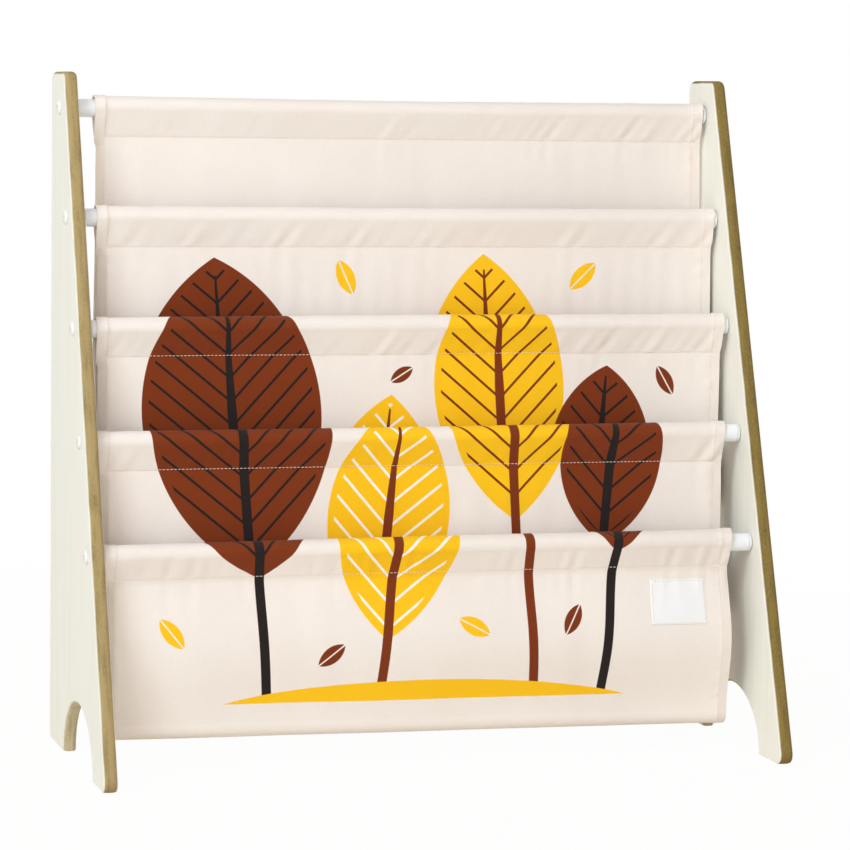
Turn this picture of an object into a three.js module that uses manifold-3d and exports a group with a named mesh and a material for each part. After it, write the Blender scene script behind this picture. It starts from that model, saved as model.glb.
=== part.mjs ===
// A low sling bookshelf for children: two board side panels, five rods bolted between them, and a
// cloth cover that hangs over the rods in four deep pockets. Millimetres, +Z up, the front faces -Y.
// The origin is on the floor, midway between the panels and midway between the front and the back.
import * as THREE from 'three';
import { mergeVertices } from 'three/addons/utils/BufferGeometryUtils.js';
import Module from 'manifold-3d';

// Driving dimensions of the rack; the depth is taken at the floor, to the sharp corner of the outline
const rackWidth = 610;
const rackHeight = 595;
const rackDepth = 273;
const rackTopDepth = 65.25;
const boardThickness = 12;
const rodDiameter = 16;
const clothThickness = 1;

// Clearances
const seatGap = 0.3;
const coverSideGap = 10;
const cutOverrun = 5;

const wasm = await Module();
wasm.setup();

// A closed three.js geometry as a solid that can be joined and cut
function solidOf(geometry) {
  const bare = geometry.clone();
  bare.deleteAttribute('normal');
  bare.deleteAttribute('uv');
  const merged = mergeVertices(bare);
  const corners = merged.index.array;
  const triangles = [];
  for (let first = 0; first < corners.length; first += 3) {
    const [a, b, c] = corners.slice(first, first + 3);
    if (a !== b && b !== c && c !== a) triangles.push(a, b, c);
  }
  return new wasm.Manifold(new wasm.Mesh({
    numProp: 3,
    vertProperties: new Float32Array(merged.attributes.position.array),
    triVerts: new Uint32Array(triangles),
  }));
}

// A solid as a three.js geometry
function geometryOf(solid) {
  const mesh = solid.getMesh();
  const geometry = new THREE.BufferGeometry();
  geometry.setAttribute('position', new THREE.BufferAttribute(new Float32Array(mesh.vertProperties), 3));
  geometry.setIndex(new THREE.BufferAttribute(new Uint32Array(mesh.triVerts), 1));
  geometry.computeVertexNormals();
  return geometry;
}

const rack = new THREE.Group();

function addPiece(name, geometry, material, position = new THREE.Vector3(), turnAboutZ = 0) {
  const mesh = new THREE.Mesh(geometry, material);
  mesh.name = name;
  mesh.position.copy(position);
  mesh.rotation.z = turnAboutZ;
  rack.add(mesh);
}

// A profile of [distance along the axis, radius] points turned about the X axis
function turnedAboutX(profile, sides) {
  const points = profile.map(([along, radius]) => new THREE.Vector2(radius, along));
  return new THREE.LatheGeometry(points, sides).rotateZ(-Math.PI / 2);
}

// The side panel's outline: the heel stands straight up at the back, and the front edge leans back.
// The toe's rounding cuts off a little of the depth, and what is left is centred on the origin.
const topCornerRadius = 9;
const toeRadius = 11;
const heelRadius = 4;
const edgeRounding = 3;
const frontLean = Math.atan((rackDepth - rackTopDepth) / rackHeight);
const toeCut = toeRadius * (Math.tan(frontLean) + 1 / Math.cos(frontLean) - 1);
const backY = (rackDepth - toeCut) / 2;
const toeY = backY - rackDepth;
const topFrontY = backY - rackTopDepth;

// The front edge's place at a height
function frontEdgeY(z) {
  return THREE.MathUtils.lerp(toeY, topFrontY, z / rackHeight);
}

// The arch between the feet is half an ellipse
const heelWidthShare = 0.267;
const toeWidthShare = 0.224;
const archHeightShare = 0.0892;
const archBackY = backY - heelWidthShare * rackDepth;
const archFrontY = toeY + toeWidthShare * rackDepth;
const archHeight = archHeightShare * rackHeight;

// Draws a line towards a corner and an arc round it, for an outline that turns left at its corners
function roundCorner(outline, before, corner, after, radius) {
  const arriving = corner.clone().sub(before).normalize();
  const leaving = after.clone().sub(corner).normalize();
  const turn = Math.acos(arriving.dot(leaving));
  const setback = radius * Math.tan(turn / 2);
  const start = corner.clone().addScaledVector(arriving, -setback);
  const centre = start.clone().add(new THREE.Vector2(-arriving.y, arriving.x).multiplyScalar(radius));
  const startAngle = Math.atan2(-arriving.x, arriving.y);
  outline.lineTo(start.x, start.y);
  outline.absarc(centre.x, centre.y, radius, startAngle, startAngle + turn, false);
}

function sidePanelOutline() {
  const archBack = new THREE.Vector2(archBackY, 0);
  const archFront = new THREE.Vector2(archFrontY, 0);
  const heel = new THREE.Vector2(backY, 0);
  const topBack = new THREE.Vector2(backY, rackHeight);
  const topFront = new THREE.Vector2(topFrontY, rackHeight);
  const toe = new THREE.Vector2(toeY, 0);
  const outline = new THREE.Shape();
  outline.moveTo(archBack.x, archBack.y);
  roundCorner(outline, archBack, heel, topBack, heelRadius);
  roundCorner(outline, heel, topBack, topFront, topCornerRadius);
  roundCorner(outline, topBack, topFront, toe, topCornerRadius);
  roundCorner(outline, topFront, toe, archFront, toeRadius);
  outline.lineTo(archFront.x, archFront.y);
  const archMiddleY = (archBackY + archFrontY) / 2;
  const archHalfWidth = (archBackY - archFrontY) / 2;
  outline.absellipse(archMiddleY, 0, archHalfWidth, archHeight, Math.PI, Math.PI / 2, true);
  outline.absellipse(archMiddleY, 0, archHalfWidth, archHeight, Math.PI / 2, 0, true);
  return outline;
}

// The rods lie a little inside the front edge, evenly spaced from the top one to the bottom one
const rodCount = 5;
const topRodHeightShare = 0.947;
const bottomRodHeightShare = 0.3133;
const topRodInset = 32.5;
const bottomRodInset = 25;

const rodPlaces = Array.from({ length: rodCount }, (_, index) => {
  const down = index / (rodCount - 1);
  const z = rackHeight * THREE.MathUtils.lerp(topRodHeightShare, bottomRodHeightShare, down);
  const inset = THREE.MathUtils.lerp(topRodInset, bottomRodInset, down);
  return { y: frontEdgeY(z) + inset, z };
});

// Bolts that hold the rods
const boltDiameter = 6;
const boltSlack = 0.3;
const boltSides = 12;
const boltHoleRadius = boltDiameter / 2 + boltSlack;

// The side panel: the outline extruded over the board's thickness, with a bored hole for each bolt
const panelMaterial = new THREE.MeshStandardMaterial({ color: 0xece7da, roughness: 0.6, metalness: 0 });
const panelCurveSegments = 8;
const panelBevelSegments = 3;

function sidePanelSolid() {
  const slab = new THREE.ExtrudeGeometry(sidePanelOutline(), {
    depth: boardThickness - 2 * edgeRounding,
    curveSegments: panelCurveSegments,
    bevelEnabled: true,
    bevelThickness: edgeRounding,
    bevelSize: edgeRounding,
    bevelOffset: -edgeRounding,
    bevelSegments: panelBevelSegments,
  });
  slab.translate(0, 0, edgeRounding - boardThickness / 2);
  const acrossAxes = new THREE.Matrix4().makeBasis(
    new THREE.Vector3(0, 1, 0), new THREE.Vector3(0, 0, 1), new THREE.Vector3(1, 0, 0));
  slab.applyMatrix4(acrossAxes);
  let panel = solidOf(slab);
  for (const rod of rodPlaces) {
    const hole = new THREE.CylinderGeometry(
      boltHoleRadius, boltHoleRadius, boardThickness + 2 * cutOverrun, boltSides);
    hole.rotateZ(Math.PI / 2).translate(0, rod.y, rod.z);
    panel = panel.subtract(solidOf(hole));
  }
  return geometryOf(panel);
}

const panelMiddleX = (rackWidth - boardThickness) / 2;
const panelInnerX = rackWidth / 2 - boardThickness;
const sidePanel = sidePanelSolid();
addPiece('left_side_panel', sidePanel, panelMaterial, new THREE.Vector3(-panelMiddleX, 0, 0));
addPiece('right_side_panel', sidePanel, panelMaterial, new THREE.Vector3(panelMiddleX, 0, 0));

// The end plugs: a flange as wide as the rod, and a stem pressed into its bore
const rodWall = 1;
const rodSides = 24;
const plugSides = 16;
const rodRadius = rodDiameter / 2;
const rodBoreRadius = rodRadius - rodWall;
const plugFlangeThickness = 3;
const plugFlangeRounding = 1;
const plugStemLength = 24;
const plugStemRadius = rodBoreRadius - seatGap;
const plugMaterial = new THREE.MeshStandardMaterial({ color: 0xf2f3f5, roughness: 0.4, metalness: 0 });
const plugFaceX = panelInnerX - seatGap;

// Along +X: the outer face of the flange is at zero and the stem points to -X
const plugProfile = [
  [0, boltHoleRadius],
  [0, rodRadius - plugFlangeRounding],
  [-plugFlangeRounding, rodRadius],
  [-plugFlangeThickness, rodRadius],
  [-plugFlangeThickness, plugStemRadius],
  [-plugFlangeThickness - plugStemLength, plugStemRadius],
  [-plugFlangeThickness - plugStemLength, boltHoleRadius],
  [0, boltHoleRadius],
];
const plug = turnedAboutX(plugProfile.toReversed(), plugSides);

// The rods: plain tubes between the flanges of their plugs
const rodHalfLength = plugFaceX - plugFlangeThickness - seatGap;
const rodMaterial = new THREE.MeshStandardMaterial({ color: 0xf4f6fa, roughness: 0.3, metalness: 0.05 });
const rodProfile = [
  [-rodHalfLength, rodBoreRadius],
  [rodHalfLength, rodBoreRadius],
  [rodHalfLength, rodRadius],
  [-rodHalfLength, rodRadius],
  [-rodHalfLength, rodBoreRadius],
];
const rodTube = turnedAboutX(rodProfile.toReversed(), rodSides);

// The bolts: a low domed head with a six-sided socket, and a shank that grips the plug behind the panel
const boltHeadRadius = 6;
const boltHeadHeight = 2.6;
const boltHeadRim = 0.8;
const boltGrip = 19.4;
const boltShankLength = boardThickness + 2 * seatGap + boltGrip;
const socketAcrossCorners = 4.6;
const socketDepth = 1.6;
const socketSides = 6;
const headArcSteps = 3;
const boltMaterial = new THREE.MeshStandardMaterial({ color: 0xf1f1ee, roughness: 0.35, metalness: 0.3 });

// Along +X: the shank points to -X and the underside of the head is at zero
function boltSolid() {
  const dome = Array.from({ length: headArcSteps + 1 }, (_, step) => {
    const angle = (step / headArcSteps) * Math.PI / 2;
    const rise = boltHeadHeight - boltHeadRim;
    return [boltHeadRim + rise * Math.sin(angle), boltHeadRadius * Math.cos(angle)];
  });
  const profile = [
    [-boltShankLength, 0],
    [-boltShankLength, boltDiameter / 2],
    [0, boltDiameter / 2],
    [0, boltHeadRadius],
    ...dome,
  ];
  profile[profile.length - 1][1] = 0;
  const turned = solidOf(turnedAboutX(profile, boltSides));
  const socket = new THREE.CylinderGeometry(
    socketAcrossCorners / 2, socketAcrossCorners / 2, socketDepth + cutOverrun, socketSides);
  socket.rotateZ(Math.PI / 2);
  socket.translate(boltHeadHeight - socketDepth + (socketDepth + cutOverrun) / 2, 0, 0);
  return geometryOf(turned.subtract(solidOf(socket)));
}

const bolt = boltSolid();
const boltSeatX = rackWidth / 2 + seatGap;

rodPlaces.forEach((rod, index) => {
  const number = index + 1;
  addPiece(`rod_${number}`, rodTube, rodMaterial, new THREE.Vector3(0, rod.y, rod.z));
  for (const [side, direction] of [['left', -1], ['right', 1]]) {
    const turn = direction < 0 ? Math.PI : 0;
    addPiece(`${side}_plug_${number}`, plug, plugMaterial,
      new THREE.Vector3(direction * plugFaceX, rod.y, rod.z), turn);
    addPiece(`${side}_bolt_${number}`, bolt, boltMaterial,
      new THREE.Vector3(direction * boltSeatX, rod.y, rod.z), turn);
  }
});

// The left-hand normal at each point of a path in the YZ plane
function withNormals(points, closed) {
  const count = points.length;
  return points.map((point, index) => {
    const before = points[closed ? (index + count - 1) % count : Math.max(index - 1, 0)];
    const after = points[closed ? (index + 1) % count : Math.min(index + 1, count - 1)];
    const along = after.clone().sub(before).normalize();
    return { point, normal: new THREE.Vector2(-along.y, along.x) };
  });
}

// A closed solid between two grids of points, faceA and faceB, each face[row][column]
function shellGeometry(faceA, faceB, ringed) {
  const rows = faceA.length;
  const columns = faceA[0].length;
  const points = [...faceA.flat(), ...faceB.flat()];
  const place = (face, row, column) => (face * rows + (row % rows)) * columns + column;
  const indices = [];
  const addQuad = (a, b, c, d) => indices.push(a, b, c, a, c, d);
  const rowSteps = ringed ? rows : rows - 1;
  for (let row = 0; row < rowSteps; row += 1) {
    for (let column = 0; column + 1 < columns; column += 1) {
      addQuad(place(0, row, column), place(0, row, column + 1),
        place(0, row + 1, column + 1), place(0, row + 1, column));
      addQuad(place(1, row, column), place(1, row + 1, column),
        place(1, row + 1, column + 1), place(1, row, column + 1));
    }
    addQuad(place(0, row, 0), place(0, row + 1, 0), place(1, row + 1, 0), place(1, row, 0));
    addQuad(place(0, row, columns - 1), place(1, row, columns - 1),
      place(1, row + 1, columns - 1), place(0, row + 1, columns - 1));
  }
  if (!ringed) {
    for (let column = 0; column + 1 < columns; column += 1) {
      addQuad(place(0, 0, column), place(1, 0, column), place(1, 0, column + 1), place(0, 0, column + 1));
      addQuad(place(0, rows - 1, column), place(0, rows - 1, column + 1),
        place(1, rows - 1, column + 1), place(1, rows - 1, column));
    }
  }
  const geometry = new THREE.BufferGeometry();
  geometry.setFromPoints(points);
  geometry.setIndex(indices);
  geometry.computeVertexNormals();
  return geometry;
}

// The cover hangs a little askew: it sits to the right on the top rod and to the left on the bottom one
const coverMaterial = new THREE.MeshStandardMaterial({ color: 0xf0e6da, roughness: 0.9, metalness: 0 });
const coverWidth = 2 * (panelInnerX - coverSideGap);
const coverSkewShares = [0.0124, 0.0088, 0.0009, -0.0115, -0.015];
const seamBelowRod = 14.5;
const seamDrop = rodRadius + seamBelowRod;
const halfSeam = (clothThickness + seatGap) / 2;

// The two faces of a cloth piece, each face[row][column], from one path in the YZ plane for each column
function clothFaces(paths, placeX) {
  return [1, -1].map((side) => paths[0].map((_, row) => paths.map((path, column) => {
    const { point, normal } = path[row];
    const shift = side * clothThickness / 2;
    return new THREE.Vector3(
      placeX(column / (paths.length - 1) - 1 / 2, row / (paths[0].length - 1)),
      point.x + shift * normal.x, point.y + shift * normal.y);
  })));
}

// The tunnels: cloth laid over a rod, with both layers sewn together at a seam below it
const tunnelColumns = 5;
const tunnelArcSteps = 12;
const tunnelLoopRadius = rodRadius + seatGap + clothThickness / 2;

function tunnelPath(rod) {
  const hang = Math.asin((tunnelLoopRadius - halfSeam) / seamDrop);
  const seamEndZ = rod.z - seamDrop + clothThickness / 2 + seatGap;
  const over = Array.from({ length: tunnelArcSteps + 1 }, (_, step) => {
    const angle = -hang + (step / tunnelArcSteps) * (Math.PI + 2 * hang);
    return new THREE.Vector2(
      rod.y - tunnelLoopRadius * Math.cos(angle), rod.z + tunnelLoopRadius * Math.sin(angle));
  });
  return withNormals([
    new THREE.Vector2(rod.y - halfSeam, seamEndZ),
    ...over,
    new THREE.Vector2(rod.y + halfSeam, seamEndZ),
  ], true);
}

rodPlaces.forEach((rod, index) => {
  const paths = Array.from({ length: tunnelColumns }, () => tunnelPath(rod));
  const [outer, inner] = clothFaces(paths, (across) => (across + coverSkewShares[index]) * coverWidth);
  addPiece(`tunnel_${index + 1}`, shellGeometry(outer, inner, true), coverMaterial);
});

// The slings: each hangs from the seam of one rod, down into a U, and up to the seam of the next rod.
// Neighbouring walls belly apart below their seam, and the whole cloth ripples a little.
const floorClearance = 25;
const slingDrop = rodPlaces[rodCount - 1].z - floorClearance;
const slingBend = 20;
const innerBelly = 3;
const frontBelly = 7;
const bottomTilt = 5;
const rippleHeight = 1.2;
const rippleCount = 3.5;
const wallSteps = 8;
const bendSteps = 8;
const slingColumns = 13;

function ripple(across, depth, phase) {
  const grow = Math.sin(depth * Math.PI / 2) ** 2;
  return rippleHeight * grow * Math.sin(2 * Math.PI * rippleCount * across + phase);
}

function slingWalls(index, across) {
  const back = rodPlaces[index];
  const front = rodPlaces[index + 1];
  const bendZ = front.z - slingDrop + slingBend - bottomTilt * across;
  const isFront = index === rodCount - 2;
  return {
    bendZ,
    back: { seamY: back.y - halfSeam, seamZ: back.z - seamDrop, belly: -innerBelly, phase: index + 1 },
    front: {
      seamY: front.y + halfSeam,
      seamZ: front.z - seamDrop,
      belly: isFront ? -frontBelly : innerBelly,
      phase: 2 * index,
    },
  };
}

// A point of a sling's wall, from its seam at depth 0 to its bend at depth 1
function wallPoint(wall, bendZ, across, depth) {
  const swell = Math.sin(depth * Math.PI) ** 2;
  const y = wall.seamY + wall.belly * swell + ripple(across, depth, wall.phase);
  return new THREE.Vector2(y, THREE.MathUtils.lerp(wall.seamZ, bendZ, depth));
}

function slingPath(index, across) {
  const { bendZ, back, front } = slingWalls(index, across);
  const down = Array.from({ length: wallSteps + 1 }, (_, step) => (
    wallPoint(back, bendZ, across, step / wallSteps)));
  const up = Array.from({ length: wallSteps + 1 }, (_, step) => (
    wallPoint(front, bendZ, across, 1 - step / wallSteps)));
  const bendBackY = down[wallSteps].x;
  const bendFrontY = up[0].x;
  const bend = Array.from({ length: bendSteps - 1 }, (_, step) => {
    const angle = ((step + 1) / bendSteps) * Math.PI;
    const y = (bendBackY + bendFrontY) / 2 + (bendBackY - bendFrontY) / 2 * Math.cos(angle);
    return new THREE.Vector2(y, bendZ - slingBend * Math.sin(angle));
  });
  return withNormals([...down, ...bend, ...up], false);
}

function slingX(index, across, along) {
  const skew = THREE.MathUtils.lerp(coverSkewShares[index], coverSkewShares[index + 1], along);
  return (across + skew) * coverWidth;
}

const slingCount = rodCount - 1;
for (let index = 0; index < slingCount; index += 1) {
  const paths = Array.from({ length: slingColumns }, (_, column) => (
    slingPath(index, column / (slingColumns - 1) - 1 / 2)));
  const [inner, outer] = clothFaces(paths, (across, along) => slingX(index, across, along));
  addPiece(`sling_${index + 1}`, shellGeometry(inner, outer, false), coverMaterial);
}

// The label: a small woven square sewn flat on the front wall of the lowest sling
const labelWidth = 51.5;
const labelHeight = 39.5;
const labelThickness = 0.5;
const labelFromRight = 24.5;
const labelBelowSeam = 9;
const labelColumns = 7;
const labelRows = 5;
const labelMaterial = new THREE.MeshStandardMaterial({ color: 0xfafaf8, roughness: 0.8, metalness: 0 });

function labelFace(distance) {
  const index = slingCount - 1;
  const rightEdge = 1 / 2 - labelFromRight / coverWidth;
  return Array.from({ length: labelRows }, (_, row) => (
    Array.from({ length: labelColumns }, (__, column) => {
      const across = rightEdge - (1 - column / (labelColumns - 1)) * labelWidth / coverWidth;
      const { bendZ, front } = slingWalls(index, across);
      const below = labelBelowSeam + (row / (labelRows - 1)) * labelHeight;
      const point = wallPoint(front, bendZ, across, below / (front.seamZ - bendZ));
      return new THREE.Vector3(slingX(index, across, 1), point.x - distance, point.y);
    })));
}

const labelBackDistance = clothThickness / 2 + seatGap;
addPiece('label', shellGeometry(
  labelFace(labelBackDistance), labelFace(labelBackDistance + labelThickness), false), labelMaterial);

export default rack;
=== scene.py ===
# A low sling bookshelf for children: two board side panels, five white rods bolted between them and
# one canvas cover that hangs over the rods in four deep pockets. Metres, +Z up, the front faces -Y.
import math

import bmesh
import bpy
import numpy as np
from mathutils import Matrix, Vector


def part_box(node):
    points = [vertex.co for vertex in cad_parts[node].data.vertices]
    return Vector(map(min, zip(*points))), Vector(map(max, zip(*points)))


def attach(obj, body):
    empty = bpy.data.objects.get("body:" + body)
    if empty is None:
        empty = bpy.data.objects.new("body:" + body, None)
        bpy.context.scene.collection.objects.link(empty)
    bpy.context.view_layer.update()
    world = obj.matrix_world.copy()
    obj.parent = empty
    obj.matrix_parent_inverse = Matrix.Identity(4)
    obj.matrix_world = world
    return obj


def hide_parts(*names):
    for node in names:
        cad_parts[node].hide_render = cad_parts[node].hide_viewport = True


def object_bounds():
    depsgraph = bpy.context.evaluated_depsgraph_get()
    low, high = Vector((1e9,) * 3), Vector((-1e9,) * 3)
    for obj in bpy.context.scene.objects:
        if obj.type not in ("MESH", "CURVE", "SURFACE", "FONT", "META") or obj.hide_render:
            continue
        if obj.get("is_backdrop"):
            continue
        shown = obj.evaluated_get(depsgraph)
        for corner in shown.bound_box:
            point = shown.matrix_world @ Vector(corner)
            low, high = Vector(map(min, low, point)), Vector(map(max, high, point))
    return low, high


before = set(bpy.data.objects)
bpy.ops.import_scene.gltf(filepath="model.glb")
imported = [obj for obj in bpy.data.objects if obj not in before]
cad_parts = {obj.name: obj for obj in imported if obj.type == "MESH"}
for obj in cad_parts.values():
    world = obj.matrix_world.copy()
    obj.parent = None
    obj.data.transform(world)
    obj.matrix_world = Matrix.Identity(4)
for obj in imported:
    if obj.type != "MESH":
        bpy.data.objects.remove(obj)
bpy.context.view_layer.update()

# The side panels. Each is a 12 mm fibreboard with a pale laminate on both faces. The outline is cut,
# and its edges are rounded and left bare, so the tan core shows. They stand on the floor by themselves.


def box_corners(node):
    """The lowest and the highest corner of a node's box."""
    return [np.array(corner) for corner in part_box(node)]


panel_low, panel_high = box_corners("left_side_panel")
board_thickness = panel_high[0] - panel_low[0]
board_middle = abs(panel_high[0] + panel_low[0]) / 2
panel_height = panel_high[2]
panel_back = panel_high[1]
panel_floor_depth = 0.273
panel_top_depth = 0.06525
panel_toe = panel_back - panel_floor_depth
front_lean = math.atan((panel_floor_depth - panel_top_depth) / panel_height)
heel_radius = 0.004
top_corner_radius = 0.009
toe_radius = 0.011
heel_share = 0.267
toe_share = 0.224
arch_height_share = 0.0892
arch_back = panel_back - heel_share * panel_floor_depth
arch_front = panel_toe + toe_share * panel_floor_depth
arch_height = arch_height_share * panel_height
edge_rounding = 0.0046
foot_rounding_share = 0.3
least_radius = 0.0004
face_margin = 0.0006
panel_sharp_angle = math.radians(40)
edge_steps = 10
corner_steps = 16
arch_steps = 72


def rounded_corner(before, corner, after, radius):
    """The arc that rounds a corner. It leaves the arriving side at the radius times the tangent of half
    the turn, and sweeps the turn evenly about a centre one radius to that side's left."""
    arriving = (corner - before) / np.linalg.norm(corner - before)
    leaving = (after - corner) / np.linalg.norm(after - corner)
    turn = np.arccos(arriving @ leaving)
    start = corner - arriving * radius * np.tan(turn / 2)
    centre = start + radius * np.array((-arriving[1], arriving[0]))
    angle = np.arctan2(-arriving[0], arriving[1]) + turn * np.linspace(0, 1, corner_steps)
    return centre + radius * np.stack((np.cos(angle), np.sin(angle)), axis=1)


def front_edge(z, inset):
    """The front edge's place at a height: the toe, plus the height times the tangent of the lean, plus
    the inset over its cosine."""
    return panel_toe + z * math.tan(front_lean) + inset / math.cos(front_lean)


def panel_outline(inset):
    """The board's outline in the YZ plane, moved inwards by the inset, anticlockwise from the heel: four
    corners whose radii lose the inset, and an arch, half an ellipse whose half-axes gain it. The foot
    moves up by a share of the inset only."""
    top = panel_height - inset
    foot = foot_rounding_share * inset
    half_arch = (arch_back - arch_front) / 2 + inset
    arch_top = arch_height + inset
    spring = math.asin(foot / arch_top)
    swing = np.linspace(np.pi - spring, spring, arch_steps)
    arch = np.stack((
        (arch_back + arch_front) / 2 + half_arch * np.cos(swing), arch_top * np.sin(swing)), axis=1)
    heel = np.array((panel_back - inset, foot))
    top_back = np.array((panel_back - inset, top))
    top_front = np.array((front_edge(top, inset), top))
    toe = np.array((front_edge(foot, inset), foot))
    radii = [max(radius - inset, least_radius) for radius in (heel_radius, top_corner_radius, toe_radius)]
    return np.concatenate((
        rounded_corner(arch[-1], heel, top_back, radii[0]),
        rounded_corner(heel, top_back, top_front, radii[1]),
        rounded_corner(top_back, top_front, toe, radii[1]),
        rounded_corner(top_front, toe, arch[0], radii[2]),
        arch,
    ))


def grid_faces(rows, columns, ring=False):
    """The quads between the points of a grid, row by row. In a ring the last column joins the first."""
    here = np.arange(rows * columns).reshape(rows, columns)
    there = np.roll(here, -1, axis=1)
    if not ring:
        here, there = here[:, :-1], there[:, :-1]
    return np.stack((here[:-1], there[:-1], there[1:], here[1:]), axis=-1).reshape(-1, 4)


def add_piece(name, points, faces, finishes, face_finishes=None, sharp_angle=None):
    """A mesh object from its points and faces, in the finishes given, with its faces turned outwards."""
    mesh = bpy.data.meshes.new(name)
    mesh.from_pydata(np.asarray(points).reshape(-1, 3).tolist(), [], [list(face) for face in faces])
    if face_finishes is not None:
        mesh.polygons.foreach_set("material_index", np.asarray(face_finishes, np.int32))
    shaped = bmesh.new()
    shaped.from_mesh(mesh)
    bmesh.ops.recalc_face_normals(shaped, faces=shaped.faces)
    shaped.to_mesh(mesh)
    shaped.free()
    mesh.shade_smooth()
    if sharp_angle is not None:
        mesh.set_sharp_from_angle(angle=sharp_angle)
    for finish in finishes:
        mesh.materials.append(finish.material)
    piece = bpy.data.objects.new(name, mesh)
    bpy.context.scene.collection.objects.link(piece)
    return piece


def srgb(red, green, blue):
    """A screen colour in parts of 255 as a linear one, by the screen's own two-piece curve."""
    parts = np.array((red, green, blue)) / 255
    linear = np.where(parts <= 0.04045, parts / 12.92, ((parts + 0.055) / 1.055) ** 2.4)
    return (*linear.tolist(), 1.0)


class Signal:
    """A value inside a finish. Arithmetic on it adds Math nodes, and a comparison gives 1 or 0."""

    def __init__(self, finish, socket):
        self.finish = finish
        self.socket = socket

    def maths(self, operation, *others, clamp=False):
        inputs = dict(enumerate((self, *others)))
        return self.finish.add("Math", inputs, operation=operation, use_clamp=clamp)

    def __add__(self, other):
        return self.maths("ADD", other)

    __radd__ = __add__

    def __sub__(self, other):
        return self.maths("SUBTRACT", other)

    def __rsub__(self, other):
        return self.finish.add("Math", {0: other, 1: self}, operation="SUBTRACT")

    def __mul__(self, other):
        return self.maths("MULTIPLY", other)

    __rmul__ = __mul__

    def __truediv__(self, other):
        return self.maths("DIVIDE", other)

    def __abs__(self):
        return self.maths("ABSOLUTE")

    def __lt__(self, other):
        return self.maths("LESS_THAN", other)

    def sine(self):
        return self.maths("SINE")

    def fraction(self):
        return self.maths("FRACT")

    def root(self):
        return self.maths("SQRT")

    def clamped(self):
        return self.maths("ADD", 0, clamp=True)

    def least(self, other):
        return self.maths("MINIMUM", other)

    def most(self, other):
        return self.maths("MAXIMUM", other)

    def steeper(self, middle, gain):
        """The distance from a middle value, times a gain."""
        return (self - middle) * gain

    def between(self, low, high):
        """Low where this is 0 and high where it is 1."""
        return self * (high - low) + low


class Finish:
    """A material, or the world. Its nodes are all put in by add()."""

    def __init__(self, name, kind=bpy.data.materials):
        self.material = kind.new(name)
        self.material.use_nodes = True
        self.tree = self.material.node_tree
        self.tree.nodes.clear()

    def add(self, kind, inputs, output=0, **settings):
        """A node with its settings, then the values or links of its inputs. Gives one output's value."""
        node = self.tree.nodes.new("ShaderNode" + kind)
        for setting, value in settings.items():
            setattr(node, setting, value)
        for place, value in inputs.items():
            if isinstance(value, Signal):
                self.tree.links.new(value.socket, node.inputs[place])
            else:
                node.inputs[place].default_value = value
        return Signal(self, node.outputs[output]) if node.outputs else None

    def place(self):
        """The point of the piece that is shaded, in metres."""
        return self.add("TexCoord", {}, output="Object")

    def parts(self, place):
        """The X, the Y and the Z of a place."""
        return [self.add("SeparateXYZ", {0: place}, output=part) for part in range(3)]

    def noise(self, place, scale, detail=2.0, roughness=0.5):
        """Soft noise between 0 and 1. The scale is blots to the metre: one number, or one each way."""
        if isinstance(scale, tuple):
            place = self.add("Mapping", {"Vector": place, "Scale": scale})
            scale = 1.0
        return self.add("TexNoise", {
            "Vector": place, "Scale": scale, "Detail": detail, "Roughness": roughness})

    def blend(self, share, first, second, blend_type="MIX"):
        """The first colour with a share of the second laid over it."""
        inputs = {0: share, 6: first, 7: second}
        return self.add("Mix", inputs, output=2, data_type="RGBA", blend_type=blend_type)

    def spotted(self, spots, first, second, start, share):
        """The first colour, which turns to a share of the second where the spots are past a start."""
        return self.blend((spots - start).clamped() * share, first, second)

    def bump(self, height, depth, strength):
        """A relief seen in the light only, as deep as said where the height changes by one."""
        return self.add("Bump", {"Height": height, "Distance": depth, "Strength": strength})

    def surface(self, **inputs):
        """Ends the material in the surface shader, whose inputs are given by their names."""
        named = {
            name.replace("_", " ").title().replace("Ior", "IOR"): value
            for name, value in inputs.items()
        }
        shader = self.add("BsdfPrincipled", named)
        self.add("OutputMaterial", {"Surface": shader})
        return self


laminate_colour = srgb(245, 244, 234)
laminate_streak_colour = srgb(232, 228, 210)
grain_scale = (1.0, 330.0, 9.0)
broad_grain_scale = (1.0, 40.0, 3.0)
grain_depth = 0.00003
streak_share = 0.7

# Each board's core, and its darker fibres. The left pair is the core's own colour, and the right pair is
# darker as painted shade.
core_colours_and_painted_shade = {
    "left": (srgb(171, 148, 99), srgb(127, 109, 65)),
    "right": (srgb(134, 112, 50), srgb(95, 77, 28)),
}
core_fleck_colour = srgb(192, 172, 122)
# A paler colour for the arch's cut: painted light bounced from the floor.
arch_painted_light_colour = srgb(210, 200, 170)
fibre_scale = (900.0, 620.0, 420.0)
fleck_scale = 1500.0
patch_scale = (230.0, 60.0, 24.0)
dark_fibre_share = 0.75
pale_fleck_share = 0.6
fleck_height_share = 0.5
fibre_depth = 0.00012
wear_start = 0.0003
wear_width = 0.0009


def laminate_finish():
    """Pale printed laminate: long faint streaks of grain that run up the board, and a satin face."""
    finish = Finish("pale_laminate")
    place = finish.place()
    grain = finish.noise(place, grain_scale, detail=4.0, roughness=0.6)
    broad = finish.noise(place, broad_grain_scale)
    streak = (grain.steeper(0.45, 2.2) + broad.steeper(0.5, 0.8)).clamped()
    colour = finish.blend(streak * streak_share, laminate_colour, laminate_streak_colour)
    relief = finish.bump(grain, grain_depth, strength=0.4)
    return finish.surface(base_color=colour, roughness=grain.between(0.44, 0.58), normal=relief)


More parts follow.
